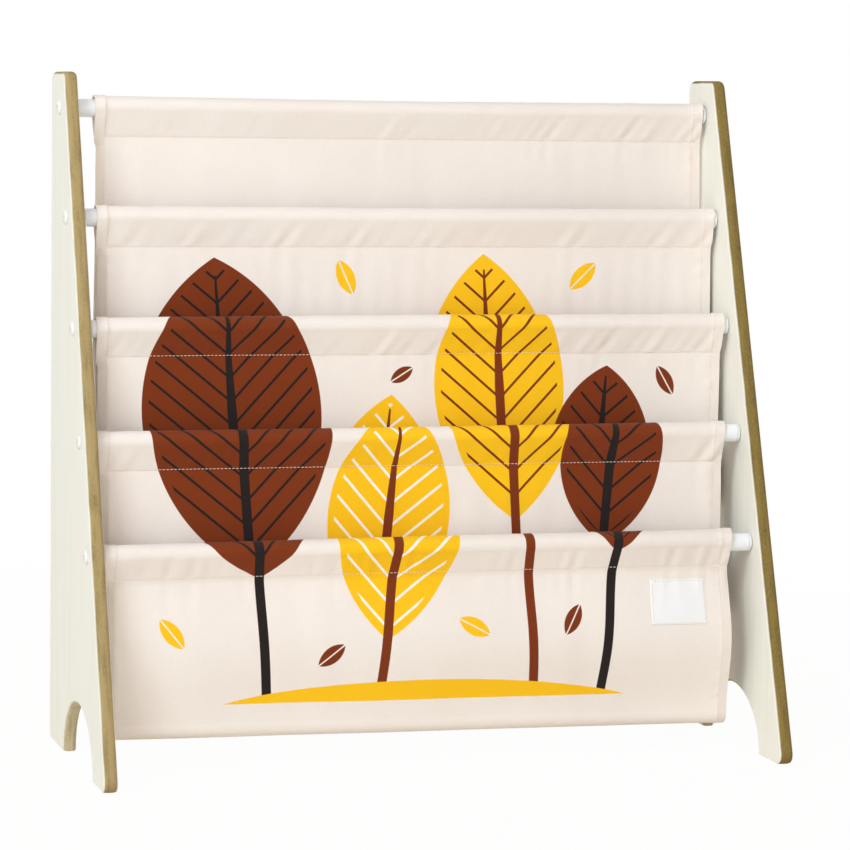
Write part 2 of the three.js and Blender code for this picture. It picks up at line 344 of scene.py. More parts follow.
def bare_edge_finish(side):
    """Bare fibreboard: short pale and dark fibres on a tan core, denser and darker in patches. The right
    board's core is painted darker than the left's, as painted shade. Close to a board's faces the laminate
    still covers the rounding, and it is sanded through in a ragged line. The arch's cut is painted paler,
    as painted light bounced from the floor."""
    # On the right board both core colours hold painted shade.
    core_and_painted_shade_colour, core_dark_and_painted_shade_colour = core_colours_and_painted_shade[side]
    finish = Finish(f"{side}_fibreboard_edge")
    place = finish.place()
    fibre = finish.noise(place, fibre_scale, detail=3.0, roughness=0.7)
    fleck = finish.noise(place, fleck_scale, detail=1.0)
    patch = finish.noise(place, patch_scale, detail=3.0)
    dark = (fibre.steeper(0.42, 2.4) + patch.steeper(0.5, 3.0)).clamped()
    pale = fleck.steeper(0.6, 6.0).clamped()
    colour = finish.blend(dark * dark_fibre_share, core_and_painted_shade_colour, core_dark_and_painted_shade_colour)
    colour = finish.blend(pale * pale_fleck_share, colour, core_fleck_colour)
    x, y, z = finish.parts(place)
    from_arch_middle = abs(y - (arch_back + arch_front) / 2)
    across_arch = from_arch_middle < (arch_back - arch_front) / 2 + edge_rounding
    in_arch = across_arch * (z < arch_height + edge_rounding)
    # The arch's cut is painted paler, as painted light bounced from the floor.
    colour = finish.blend(in_arch * dark.between(0.8, 0.4), colour, arch_painted_light_colour)
    from_face = board_thickness / 2 - abs(abs(x) - board_middle)
    bared = ((from_face - wear_start) / wear_width + patch.steeper(0.5, 0.8)).clamped()
    colour = finish.blend(bared, laminate_colour, colour)
    relief = finish.bump(fibre + fleck * fleck_height_share, fibre_depth, strength=0.6)
    return finish.surface(base_color=colour, roughness=pale.between(0.82, 0.72), normal=relief)


def panel_rings(low_x, high_x):
    """The rings that carry the outline across the board. Along each rounded edge the ring steps in by
    the rounding less its sine part, while X moves by the rounding less its cosine part. The first and the
    last ring lie a margin inside the faces, which keeps the faces flat to the light."""
    turn = np.linspace(0, np.pi / 2, edge_steps + 1)
    inner = [edge_rounding + face_margin]
    steps_in = edge_rounding * (1 - np.sin(turn))
    steps_across = edge_rounding * (1 - np.cos(turn))
    insets = np.concatenate((inner, steps_in, steps_in[::-1], inner))
    places = np.concatenate(([low_x], low_x + steps_across, high_x - steps_across[::-1], [high_x]))
    return np.stack([
        np.insert(panel_outline(inset), 0, place, axis=1) for inset, place in zip(insets, places)])


pale_laminate = laminate_finish()
for side in ("left", "right"):
    node = f"{side}_side_panel"
    low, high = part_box(node)
    rings = panel_rings(low.x, high.x)
    ring_count, outline_count = rings.shape[:2]
    strips = grid_faces(ring_count, outline_count, ring=True)
    last_ring = (ring_count - 1) * outline_count
    board_faces = [np.arange(outline_count)[::-1], last_ring + np.arange(outline_count)]
    is_bare = np.ones((ring_count - 1, outline_count), int)
    is_bare[[0, -1]] = 0
    panel = add_piece(
        f"{side}_panel_board", rings, [*strips, *board_faces], [pale_laminate, bare_edge_finish(side)],
        [*is_bare.ravel(), 0, 0], panel_sharp_angle)
    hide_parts(node)
    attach(panel, "root")

# The rods. Five steel tubes of 16 mm, lacquered white, lie one above the other just inside the panels'
# front edges. Each is clamped by a bolt at both ends, and only its ends show beside the cover.
rod_count = 5
rod_numbers = range(1, rod_count + 1)
rod_boxes = [box_corners(f"rod_{number}") for number in rod_numbers]
rod_middles = [(low + high) / 2 for low, high in rod_boxes]
rod_radius = (rod_boxes[0][1][2] - rod_boxes[0][0][2]) / 2
rod_wall = 0.001
rod_lip = 0.00015
turned_sides = 64
turned_angles = np.linspace(0, 2 * np.pi, turned_sides, endpoint=False)
turned_sharp_angle = math.radians(38)
lacquer_colour = srgb(241, 244, 248)
lacquer_shade_colour = srgb(226, 229, 233)
peel_scale = 700.0
peel_depth = 0.00004
lacquer_wear_scale = (12.0, 90.0, 90.0)


def add_turned(name, profile, middle, direction, finish):
    """A piece turned about a rod's axis from a profile of distance along it and radius. A point lies the
    radius times the cosine behind the axis, and the radius times the sine above it. The profile closes on
    itself: its last row is joined to its first."""
    along = np.array([point[0] for point in profile])
    radius = np.stack([np.broadcast_to(point[1], turned_sides) for point in profile])
    points = np.empty((len(profile), turned_sides, 3))
    points[:, :, 0] = middle[0] + direction * along[:, None]
    points[:, :, 1] = middle[1] + radius * np.cos(turned_angles)
    points[:, :, 2] = middle[2] + radius * np.sin(turned_angles)
    faces = grid_faces(len(profile) + 1, turned_sides, ring=True) % (len(profile) * turned_sides)
    return add_piece(name, points, faces, [finish], sharp_angle=turned_sharp_angle)


def lacquer_finish():
    """White lacquer on steel: a faint orange peel under a satin coat."""
    finish = Finish("white_lacquer")
    place = finish.place()
    peel = finish.noise(place, peel_scale, detail=1.0)
    wear = finish.noise(place, lacquer_wear_scale, detail=3.0)
    colour = finish.spotted(wear, lacquer_colour, lacquer_shade_colour, start=0.5, share=0.5)
    relief = finish.bump(peel, peel_depth, strength=0.35)
    return finish.surface(
        base_color=colour, roughness=wear.between(0.24, 0.4), normal=relief, coat_weight=0.25)


white_lacquer = lacquer_finish()
for number, (low, high) in enumerate(rod_boxes, start=1):
    half_length = (high[0] - low[0]) / 2
    rod_profile = [
        (-half_length, rod_radius - rod_wall),
        (-half_length, rod_radius - rod_lip),
        (-half_length + rod_lip, rod_radius),
        (half_length - rod_lip, rod_radius),
        (half_length, rod_radius - rod_lip),
        (half_length, rod_radius - rod_wall),
    ]
    rod = add_turned(f"rod_{number}_tube", rod_profile, (low + high) / 2, 1, white_lacquer)
    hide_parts(f"rod_{number}")
    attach(rod, "root")

# The end plugs. Moulded in white nylon, each is pressed into the end of a tube: a stem with four crush
# ribs inside the tube, and a round-edged flange that keeps the tube's end off the board. The flange
# stands on a seat a little smaller than itself, so a narrow groove runs round it at the board.
plug_flange = 0.003
plug_rounding = 0.0008
rounding_points = 6
plug_seat_height = 0.0007
plug_seat_inset = 0.0018
plug_bore = 0.0033
plug_fit = 0.0003
stem_radius = rod_radius - rod_wall - plug_fit
rib_count = 4
rib_height = 0.00025
rib_power = 10
plug_colour = srgb(238, 240, 241)
plug_shade_colour = srgb(224, 226, 227)
mottle_scale = 420.0
mottle_depth = 0.00003


def plug_finish():
    """White nylon: a soft satin with a little mottling from the mould."""
    finish = Finish("white_nylon")
    mottle = finish.noise(finish.place(), mottle_scale, detail=3.0)
    colour = finish.spotted(mottle, plug_colour, plug_shade_colour, start=0.4, share=0.5)
    relief = finish.bump(mottle, mottle_depth, strength=0.4)
    return finish.surface(base_color=colour, roughness=mottle.between(0.38, 0.54), normal=relief)


def plug_profile(length):
    """The plug from its bore at the board, over the seat and the flange's edge, a quarter circle, and
    along the stem. At a crush rib the stem swells by the rib's height times a high power of a cosine."""
    seat_radius = rod_radius - plug_seat_inset
    edge = [
        (plug_rounding * (math.cos(turn) - 1) - plug_seat_height,
         rod_radius - plug_rounding * (1 - math.sin(turn)))
        for turn in np.linspace(0, np.pi / 2, rounding_points)
    ]
    swelling = np.cos(rib_count * turned_angles / 2) ** rib_power
    ribbed_radius = stem_radius - rib_height + rib_height * swelling
    return [
        (0, plug_bore),
        (0, seat_radius),
        (-plug_seat_height, seat_radius),
        *edge,
        (-plug_flange, rod_radius),
        (-plug_flange, stem_radius),
        (-plug_flange - plug_rounding, ribbed_radius),
        (plug_rounding - length, ribbed_radius),
        (-length, stem_radius - plug_rounding),
        (-length, plug_bore),
    ]


white_nylon = plug_finish()
for number in rod_numbers:
    for side, direction in (("left", -1), ("right", 1)):
        node = f"{side}_plug_{number}"
        low, high = box_corners(node)
        outer_face = np.array((high[0] if direction > 0 else low[0], *rod_middles[number - 1][1:]))
        profile = plug_profile(high[0] - low[0])
        plug = add_turned(f"{node}_moulding", profile, outer_face, direction, white_nylon)
        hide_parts(node)
        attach(plug, "root")

# The bolts. A low round head with a six-sided socket, lacquered white, sits against the board's outer
# face. Its shank goes through the board and is threaded into the plug.
bolt_head_height = 0.0026
bolt_head_rim = 0.0007
bolt_head_radius = 0.006
dome_steps = 8
bolt_shank_radius = 0.003
socket_flats = 0.002
socket_depth = 0.0016
socket_chamfer = 0.0003
socket_ring_fall = 0.0001
closing_radius = 0.00005
thread_pitch = 0.001
thread_depth = 0.0003
board_grip = 0.014
bolt_colour = srgb(236, 236, 232)
bolt_shade_colour = srgb(212, 212, 208)
key_wear_scale = 900.0
key_wear_depth = 0.00003


def bolt_finish():
    """White lacquer on a steel bolt, with small greyer and rougher spots where a key has worn it."""
    finish = Finish("white_lacquered_bolt")
    wear = finish.noise(finish.place(), key_wear_scale, detail=3.0)
    colour = finish.spotted(wear, bolt_colour, bolt_shade_colour, start=0.45, share=0.8)
    relief = finish.bump(wear, key_wear_depth, strength=0.4)
    return finish.surface(
        base_color=colour, roughness=wear.between(0.3, 0.5), normal=relief, coat_weight=0.2)


def six_sided(half_flats):
    """The radius of a hexagon at each side of the turned piece: half its width across the flats over the
    cosine of the angle from the middle of the nearest flat."""
    return half_flats / np.cos((turned_angles + np.pi / 6) % (np.pi / 3) - np.pi / 6)


def bolt_profile(length):
    """The bolt from its tip, where the radius is nearly zero, along the threaded shank, under the head,
    over the dome and down into the socket's floor. The thread is a row of ridges. The dome rises by the
    sine of a turn while its radius shrinks by the cosine."""
    tip = bolt_head_height - length
    ridge_count = int((-tip - board_grip) / thread_pitch)
    ridges = [
        (tip + index * thread_pitch / 2, bolt_shank_radius - thread_depth * (index % 2))
        for index in range(1, 2 * ridge_count)
    ]
    dome_rise = bolt_head_height - bolt_head_rim
    dome = [
        (bolt_head_rim + dome_rise * math.sin(turn), bolt_head_radius * math.cos(turn))
        for turn in np.linspace(0, 1, dome_steps + 1)[:-2] * np.pi / 2
    ]
    corner = socket_flats / math.cos(math.pi / 6)
    return [
        (tip, closing_radius),
        (tip, bolt_shank_radius - thread_depth),
        *ridges,
        (-board_grip, bolt_shank_radius),
        (0, bolt_shank_radius),
        (0, bolt_head_radius),
        *dome,
        (bolt_head_height - socket_ring_fall, corner + 2 * socket_chamfer),
        (bolt_head_height - socket_ring_fall, corner + socket_chamfer),
        (bolt_head_height - socket_chamfer, six_sided(socket_flats)),
        (bolt_head_height - socket_depth, six_sided(socket_flats)),
        (bolt_head_height - socket_depth - socket_chamfer, closing_radius),
    ]


lacquered_bolt = bolt_finish()
for number in rod_numbers:
    for side, direction in (("left", -1), ("right", 1)):
        node = f"{side}_bolt_{number}"
        low, high = box_corners(node)
        seat_x = direction * (max(abs(low[0]), abs(high[0])) - bolt_head_height)
        seat = np.array((seat_x, *rod_middles[number - 1][1:]))
        profile = bolt_profile(high[0] - low[0])
        bolt = add_turned(f"{node}_steel", profile, seat, direction, lacquered_bolt)
        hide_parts(node)
        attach(bolt, "root")

# The cover. One long strip of cotton canvas is folded over each rod and sewn through both layers below
# it, which makes five tunnels. Between the tunnels it hangs down in four slings. Its side edges are
# hemmed, and a print in yellow, brown and black lies on its front.
tunnel_boxes = [box_corners(f"tunnel_{number}") for number in rod_numbers]
cover_width = tunnel_boxes[0][1][0] - tunnel_boxes[0][0][0]
cover_middles = np.array([(low[0] + high[0]) / 2 for low, high in tunnel_boxes])

# How far each end of the cover lies to the right of a straight cut, from the top rod down.
left_end_shifts = np.array((0.0008, -0.0016, -0.0030, -0.0012, 0.0008))
right_end_shifts = np.array((0.0000, 0.0020, 0.0044, 0.0016, -0.0018))
left_ends = cover_middles - cover_width / 2 + left_end_shifts
right_ends = cover_middles + cover_width / 2 + right_end_shifts

canvas_thickness = 0.0007
canvas_sharp_angle = math.radians(55)
seam_drops = np.array((0.0251, 0.0258, 0.0247, 0.0255, 0.0203))
half_seam = 0.0006
loop_gap = 0.0002
loop_radius = rod_radius + loop_gap + canvas_thickness / 2
hem_width = 0.0115
hem_step_share = 0.2
hem_rise = 0.0007
hem_fade = 0.012
pressed_hem_share = 0.8
middle_columns = 200
hem_columns = 11


def across_places():
    """The places of the columns across the cover, from -1/2 to 1/2, closer together in both side hems."""
    hem = hem_width / cover_width
    return np.concatenate((
        np.linspace(-0.5, hem - 0.5, hem_columns)[:-1],
        np.linspace(hem - 0.5, 0.5 - hem, middle_columns),
        np.linspace(0.5 - hem, 0.5, hem_columns)[1:],
    ))


across = across_places()


def cover_x(rod, columns):
    """The place of the columns on a rod, where the cover's ends lie askew."""
    share = columns + 0.5
    return left_ends[rod] * (1 - share) + right_ends[rod] * share


def soft_waves(x, z, seed, longest, count=7, stretch=1.0):
    """Soft heights about zero: sine waves in directions of their own, with lengths from a third of the
    longest to the longest, added up and divided by the root of their number. Stretch draws them out
    in Z."""
    draw = np.random.default_rng(seed)
    lengths = longest * draw.uniform(1 / 3, 1, count)
    turns = draw.uniform(0, np.pi, count)
    phases = draw.uniform(0, 2 * np.pi, count)
    total = np.zeros(np.broadcast(x, z).shape)
    for length, turn, phase in zip(lengths, turns, phases):
        total += np.sin(2 * np.pi * (x * np.cos(turn) + z * np.sin(turn) / stretch) / length + phase)
    return total / math.sqrt(count)


pucker_length = 0.034
pucker_seeds = (11, 16, 13, 22, 25)
pucker_drift_length = 0.16
drift_seed_step = 50
pucker_right_start = 0.10
pucker_right_gain = 5.0


def puckers(x, from_seam, seed, height, reach, slant):
    """The small folds that the stitches pull into the cloth. They rise from nothing at the seam to their
    full height at the reach and fade past it. Their strength drifts along the seam and grows to the
    right."""
    fade = from_seam / reach * np.exp(1 - from_seam / reach)
    folds = soft_waves(x - slant * from_seam, 0 * x, seed, pucker_length, count=5)
    drift = 0.5 + 0.5 * soft_waves(x, 0 * x, seed + drift_seed_step, pucker_drift_length, count=3)
    strength = drift + pucker_right_gain * np.clip(x - pucker_right_start, 0, None)
    return height * fade * folds * strength


def edge_distance(columns):
    """The distance of the columns from the nearer side edge of the cover."""
    return (0.5 - np.abs(columns)) * cover_width


def surface_normals(points):
    """The unit normals of a grid of points: the cross product of its steps along rows and columns."""
    down = np.gradient(points, axis=0)
    sideways = np.gradient(points, axis=1)
    normals = np.cross(down, sideways)
    return normals / np.linalg.norm(normals, axis=2, keepdims=True)


def hem_share(columns):
    """1 in the side hems and 0 between them, with a soft step over the hem's inner share."""
    return np.clip((hem_width - edge_distance(columns)) / (hem_step_share * hem_width), 0, 1)


def shell_faces(rows, columns):
    """The faces of a closed sheet between two grids of points, one after the other: the first grid's, the
    second grid's turned over, and a rim between their borders."""
    count = rows * columns
    faces = grid_faces(rows, columns)
    border = np.concatenate((
        np.arange(columns), columns * np.arange(1, rows) + columns - 1,
        count - 2 - np.arange(columns - 1), columns * np.arange(rows - 2, 0, -1)))
    after = np.roll(border, -1)
    rim = np.stack((border, after, after + count, border + count), axis=1)
    return np.concatenate((faces, faces[:, ::-1] + count, rim))


def add_cloth(name, middle, out, away, print_heights, printed, back_printed=None, hem_outside=0.0):
    """A closed sheet of canvas round a grid of middle points. Its two sides lie half a thickness along
    the outward vectors and against them, and the turned-in cloth of the hems thickens one of them, less
    so near a seam. The rows printed on each side are given, and the rest of the cloth is plain."""
    rows, columns = middle.shape[:2]
    hem = hem_rise * hem_share(across) * (1 - pressed_hem_share * np.exp(-away / hem_fade))
    half = canvas_thickness / 2
    front = middle + out * (half + hem * hem_outside)[:, :, None]
    back = middle - out * (half + hem * (1 - hem_outside))[:, :, None]
    faces = shell_faces(rows, columns)
    is_plain = np.ones(len(faces), int)
    for side, rows_printed in enumerate((printed, back_printed)):
        if rows_printed is not None:
            first = side * (rows - 1) * (columns - 1)
            chosen = np.repeat(rows_printed, columns - 1)
            is_plain[first:first + len(chosen)][chosen] = 0
    piece = add_piece(
        name, np.stack((front, back)), faces, [printed_canvas, plain_canvas], is_plain, canvas_sharp_angle)
    add_strip_map(piece, middle, print_heights, rows * columns, columns)
    return piece


def add_strip_map(piece, middle, print_heights, count, columns):
    """Writes the map that the canvas finishes read: U is the place across, and V the height that a point
    has on the flat strip. Heights come in two columns, for the face after a row and the face before it."""
    mesh = piece.data
    vertex = np.empty(len(mesh.loops), np.int32)
    mesh.loops.foreach_get("vertex_index", vertex)
    sizes = np.empty(len(mesh.polygons), np.int32)
    mesh.polygons.foreach_get("loop_total", sizes)
    row = (vertex % count) // columns
    first_row = np.minimum.reduceat(row, np.concatenate(([0], np.cumsum(sizes)[:-1])))
    is_later = row > np.repeat(first_row, sizes)
    places = np.empty((len(vertex), 2), np.float32)
    places[:, 0] = middle.reshape(-1, 3)[vertex % count, 0]
    places[:, 1] = np.where(is_later, print_heights[row, 1], print_heights[row, 0])
    layer = mesh.uv_layers.new(name="strip")
    layer.data.foreach_set("uv", places.ravel())


canvas_colour = srgb(246, 238, 231)
canvas_shade_colour = srgb(237, 225, 216)
print_yellow = srgb(255, 199, 20)
print_brown = srgb(124, 50, 8)
print_dark = srgb(30, 21, 18)
print_white = srgb(251, 249, 244)
print_shade_colour = srgb(120, 100, 80)
yarn_pitch = 0.0009
yarn_depth = 0.00008
slub_scale = (2500.0, 90.0, 1.0)
slub_across_scale = (90.0, 2500.0, 1.0)
soiling_scale = (9.0, 9.0, 1.0)
weave_height_share = 0.5
slub_height_share = 0.9
mean_shade_share = 0.2
print_shade_share = 0.12
print_edge = 0.0004

# Each leaf of the print: its middle across and up, half its length, half its width, its tilt in degrees,
# its colour and the colour of its veins. The great leaves are trees, whose stalks stand on the mound.
tree_leaves = [
    (-0.165, 0.300, 0.135, 0.080, 4.0, print_brown, print_dark),
    (-0.032, 0.212, 0.104, 0.055, -6.0, print_yellow, print_white),
    (0.078, 0.322, 0.116, 0.060, 3.0, print_yellow, print_brown),
    (0.172, 0.262, 0.078, 0.047, -5.0, print_brown, print_dark),
]
fallen_leaves = [
    (-0.232, 0.118, 0.017, 0.0075, 38.0, print_yellow),
    (-0.092, 0.096, 0.015, 0.0070, -52.0, print_brown),
    (-0.055, 0.417, 0.017, 0.0080, 24.0, print_yellow),
    (-0.012, 0.333, 0.012, 0.0060, -58.0, print_brown),
    (0.036, 0.118, 0.016, 0.0075, 62.0, print_yellow),
    (0.126, 0.122, 0.015, 0.0070, -28.0, print_brown),
    (0.166, 0.418, 0.017, 0.0080, -46.0, print_yellow),
    (0.234, 0.326, 0.015, 0.0070, 30.0, print_brown),
]
mound_middle = (-0.005, 0.030)
mound_radii = (0.222, 0.042)
ground_line = 0.054
stalk_half_width = 0.0042
stalk_top_share = 0.88
vein_pitch = 0.021
vein_half_width = 0.0015
vein_slope = 0.95
vein_margin = 0.006
rib_half_width = 0.0006
taper_share = 0.8


def leaf_frame(u, v, middle_u, middle_v, tilt):
    """The place seen from a leaf: moved to its middle and turned by its tilt, across and along."""
    from_u = u - middle_u
    from_v = v - middle_v
    cosine, sine = math.cos(math.radians(tilt)), math.sin(math.radians(tilt))
    return from_u * cosine + from_v * sine, from_v * cosine - from_u * sine


def leaf_depth(side, along, half_length, half_width):
    """How far a place lies inside a leaf, which is where two equal circles overlap: their radius, less
    the distance to the centre of the circle on the far side."""
    radius = (half_length ** 2 + half_width ** 2) / (2 * half_width)
    centre_away = abs(side) + (radius - half_width)
    return radius - (centre_away * centre_away + along * along).root()


def inked(depth):
    """1 inside a printed shape and 0 outside, with a soft edge as wide as the ink's."""
    return (depth / print_edge + 0.5).clamped()


def printed_colour(finish, u, v, ground):
    """The print over the cloth's own colour: trees shaped as great leaves with veins and stalks, a mound
    cut off level in front of them, and small leaves with a bare rib."""
    ratio_u = (u - mound_middle[0]) / mound_radii[0]
    ratio_v = (v - mound_middle[1]) / mound_radii[1]
    mound_depth = (1 - (ratio_u * ratio_u + ratio_v * ratio_v).root()) * mound_radii[1]
    mound_depth = mound_depth.least(v - ground_line)
    colour = ground
    for middle_u, middle_v, half_length, half_width, tilt, leaf_colour, vein_colour in tree_leaves:
        side, along = leaf_frame(u, v, middle_u, middle_v, tilt)
        depth = leaf_depth(side, along, half_length, half_width)
        colour = finish.blend(inked(depth), colour, leaf_colour)
        climb = (along - abs(side) * vein_slope) / vein_pitch
        from_vein = abs(climb.fraction() - 0.5) * vein_pitch
        veins = inked((vein_half_width - from_vein).least(depth - vein_margin))
        colour = finish.blend(veins, colour, vein_colour)
        stalk_top = stalk_top_share * half_length
        taper = stalk_half_width * (1 - (along / stalk_top).most(0) * taper_share)
        stalk_depth = (taper - abs(side)).least(stalk_top - along)
        stalk_colour = vein_colour if vein_colour == print_dark else print_brown
        stalk = inked(stalk_depth.least(v - ground_line))
        colour = finish.blend(stalk, colour, stalk_colour)
    colour = finish.blend(inked(mound_depth), colour, print_yellow)
    for middle_u, middle_v, half_length, half_width, tilt, leaf_colour in fallen_leaves:
        side, along = leaf_frame(u, v, middle_u, middle_v, tilt)
        depth = leaf_depth(side, along, half_length, half_width)
        from_rib = abs(side) - rib_half_width
        colour = finish.blend(inked(depth.least(from_rib)), colour, leaf_colour)
    return colour


def canvas_finish(name, has_print):
    """Cotton canvas: a plain weave of yarns that vary in thickness, and soft shading between the yarns.
    The print is laid on one side of the cloth, over the yarns."""
    finish = Finish(name)
    strip = finish.add("UVMap", {}, uv_map="strip")
    u, v, _ = finish.parts(strip)
    slub = finish.noise(strip, slub_scale)
    slub_across = finish.noise(strip, slub_across_scale)
    turn = 2 * math.pi / yarn_pitch
    weave = (u * turn).sine() * (v * turn).sine()
    yarns = weave * weave_height_share + (slub + slub_across) * slub_height_share
    soiling = finish.noise(strip, soiling_scale, detail=3.0)
    shade = slub.steeper(0.5, 0.4) + slub_across.steeper(0.5, 0.4) + soiling.steeper(0.5, 0.5)
    shade = (shade + mean_shade_share).clamped()
    colour = finish.blend(shade, canvas_colour, canvas_shade_colour)
    if has_print:
        inks = printed_colour(finish, u, v, colour)
        colour = finish.blend(shade * print_shade_share, inks, print_shade_colour, "MULTIPLY")
    relief = finish.bump(yarns, yarn_depth, strength=0.3)
    return finish.surface(
        base_color=colour, roughness=slub.between(0.78, 0.98), normal=relief,
        specular_ior_level=0.25, sheen_weight=0.05, sheen_roughness=0.6)


def hand_over(piece, node):
    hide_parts(node)
    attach(piece, "root")


printed_canvas = canvas_finish("printed_canvas", True)
plain_canvas = canvas_finish("plain_canvas", False)

# The thread. Cream polyester lockstitches run along each seam below a rod, through both layers, and
# down both side hems. Each stitch is a short bead that is half sunk in the cloth.
stitch_length = 0.0026
stitch_step = 0.0034
stitch_half_width = 0.00034
stitch_half_rise = 0.0003
bead_rings = 5
bead_sides = 6
twist_pitch = 0.0006
twist_depth = 0.00004
thread_colour = srgb(237, 223, 209)
thread_shade_colour = srgb(216, 201, 186)
thread_shade_share = 0.35


def bead():
    """One stitch as a ball of unit radius: rings of points, whose place along is minus the cosine of the
    swing and whose radius is its sine, and a point at each end."""
    swing = np.linspace(0, np.pi, bead_rings + 2)[1:-1, None]
    angle = np.linspace(0, 2 * np.pi, bead_sides, endpoint=False)
    rings = np.stack((
        np.broadcast_to(-np.cos(swing), (bead_rings, bead_sides)),
        np.sin(swing) * np.cos(angle),
        np.sin(swing) * np.sin(angle)), axis=-1).reshape(-1, 3)
    points = np.concatenate((rings, [(-1, 0, 0), (1, 0, 0)]))
    first_end = bead_rings * bead_sides
    last_ring = first_end - bead_sides
    sides = range(bead_sides)
    start = [(first_end, (side + 1) % bead_sides, side) for side in sides]
    end = [(first_end + 1, last_ring + side, last_ring + (side + 1) % bead_sides) for side in sides]
    return points, [*grid_faces(bead_rings, bead_sides, ring=True).tolist(), *start, *end]


def add_stitches(name, rows):
    """Beads in the rows given, each as long as a stitch along its row and half sunk in the cloth."""
    places, along, out = (np.concatenate(parts) for parts in zip(*rows))
    points, faces = bead()
    side = np.cross(out, along)
    half_sizes = np.array((stitch_length / 2, stitch_half_width, stitch_half_rise))
    axes = np.stack((along, side, out), axis=1) * half_sizes[:, None]
    beads = places[:, None, :] + np.einsum("pa,nac->npc", points, axes)
    every_face = [
        [corner + index * len(points) for corner in face]
        for index in range(len(places))
        for face in faces
    ]
    stitches = add_piece(name, beads, every_face, [polyester_thread])
    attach(stitches, "root")
    return stitches


def thread_finish():
    """Twisted polyester: pale, with the slanted shadow of its twist."""
    finish = Finish("polyester_thread")
    x, y, z = finish.parts(finish.place())
    twist = ((x + z) * (2 * math.pi / twist_pitch)).sine()
    in_shadow = twist.between(0.5, 1.0)
    colour = finish.blend(in_shadow * thread_shade_share, thread_colour, thread_shade_colour)
    relief = finish.bump(twist, twist_depth, strength=0.5)
    return finish.surface(base_color=colour, roughness=0.5 + twist * 0.05, normal=relief)


polyester_thread = thread_finish()


def unit(vectors):
    """The vectors at length one."""
    return vectors / np.linalg.norm(vectors, axis=-1, keepdims=True)


def run_along(points):
    """The run of a line of points from its start to each of them."""
    return np.concatenate(([0], np.cumsum(np.linalg.norm(np.diff(points, axis=0), axis=1))))


def along_line(at, run, vectors):
    """The vectors of a line, worked out between its points at other runs."""
    return np.stack([np.interp(at, run, vectors[:, axis]) for axis in range(3)], axis=1)


def stitched_row(points, normals, rise):
    """The places, directions and outward normals of the stitches along a line of points: they lie a step
    apart along the line, and the rise off it."""
    run = run_along(points)
    at = np.arange(stitch_step, run[-1] - stitch_step / 2, stitch_step)
    places = along_line(at, run, points)
    ahead = along_line(at + stitch_step / 4, run, points)
    out = unit(along_line(at, run, normals))
    along = unit(ahead - places)
    out = unit(out - along * (out * along).sum(axis=1, keepdims=True))
    return places + rise * out, along, out


# The tunnels. Each is the canvas folded over a rod. It lies tight over the upper half, and both layers
# run straight down to the seam. The stitches draw in small folds above it, which lean to the right.
tunnel_rows = 60
tunnel_hang = math.asin((loop_radius - half_seam) / seam_drops.mean())
tunnel_pucker_heights = (0.00042, 0.00045, 0.00045, 0.00042, 0.00055)
tunnel_pucker_reach = 0.0072
tunnel_pucker_slants = (0.6, 0.6, 0.6, 0.5, 0.1)
pinch_share = 0.6
tunnel_slack = 0.00018
slack_reach = 0.01
slack_length = 0.09
slack_seed = 31
seam_right_pull = 0.0014
seam_left_pull = 0.0008
pull_reach = 0.007
pull_power = 8
seam_stitch_rise = 0.0011
hem_stitch_share = 0.85
end_front_shifts = (-0.0022, -0.0016, -0.0010, -0.0020, -0.0016)
end_top_shifts = (0.0006, 0.0010, 0.0006, 0.0008, 0.0010)

# How far each loop stands off its rod at its left end, in its middle and at its right end.
loop_lifts = [
    (0.0020, 0.0004, 0.0016),
    (0.0014, 0.0004, 0.0006),
    (0.0008, 0.0020, 0.0016),
    (0.0000, 0.0004, 0.0014),
    (0.0010, 0.0030, 0.0032),
]


def side_pull(columns, from_seam):
    """How far the side edges are drawn in at a seam. The pull is greatest at the seam and fades past it,
    and from the edges to the middle it falls by a high power."""
    fade = np.exp(-from_seam / pull_reach)
    inwards = np.where(columns > 0, -seam_right_pull, seam_left_pull)
    return inwards * fade * np.abs(2 * columns) ** pull_power


def end_shift(index, columns, outwards, height):
    """How far the right end lies from a straight cut: one shift in front of the rod and one on top of it,
    each times the share of the loop's radius that the cloth lies out there, and fading to the left."""
    in_front = end_front_shifts[index] * np.clip(outwards / loop_radius, 0, 1)
    on_top = end_top_shifts[index] * np.clip(height / loop_radius, 0, 1)
    return (in_front + on_top)[:, None] * np.clip(2 * columns, 0, 1) ** pull_power


